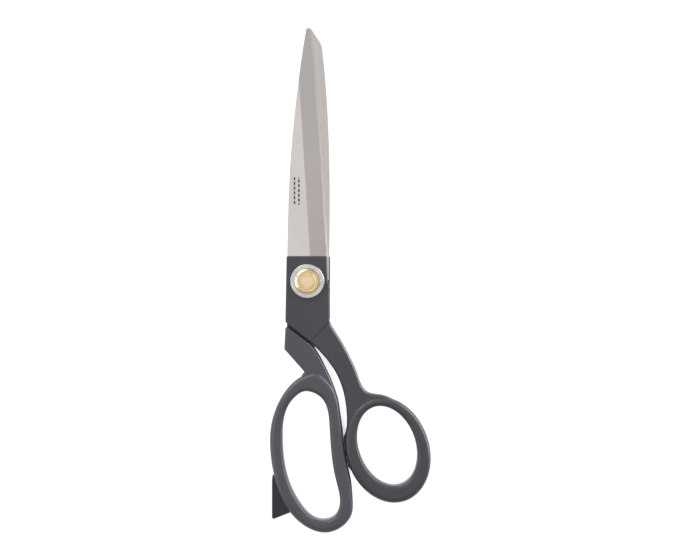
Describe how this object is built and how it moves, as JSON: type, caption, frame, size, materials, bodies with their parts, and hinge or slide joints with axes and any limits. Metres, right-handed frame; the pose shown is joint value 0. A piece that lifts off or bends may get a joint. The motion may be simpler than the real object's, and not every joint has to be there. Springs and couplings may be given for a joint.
{
  "type": "fabric shears",
  "caption": "Bent tailor's fabric shears: long steel blades in cast handles with a round thumb bow and a long finger bow, hinged on a domed brass screw.",
  "frame": {"origin": "on the pivot's axis, at the plane that the closed shears rest on, which is the back face of the pivot nut", "axes": "+Z along the pivot's axis, out of the domed screw head; +Y along the closed blades towards their tips; +X towards the thumb bow"},
  "size_m": [0.0809, 0.2539, 0.0128],
  "materials": {
    "blade_steel": "satin ground stainless steel with fine cross-grind lines",
    "handle_paint": "dark grey satin baked enamel over a zinc casting",
    "screw_brass": "polished turned brass",
    "collar_steel": "nickel-plated, finely grained",
    "nut_steel": "nickel-plated, turned",
    "spring_steel": "oiled spring steel"
  },
  "bodies": {
    "back_member": {"back_blade": "blade_steel", "finger_handle": "handle_paint", "pivot_screw": "screw_brass", "pivot_nut": "nut_steel", "back_washer": "nut_steel", "disc_spring": "spring_steel"},
    "front_member": {"front_blade": "blade_steel", "thumb_handle": "handle_paint", "collar_ring": "collar_steel"}
  },
  "joints": [
    {"name": "pivot", "type": "hinge", "parent": "back_member", "child": "front_member", "pos_m": [0, 0, 0.006], "axis": [0, 0, 1], "range_deg": [0, 118]}
  ]
}
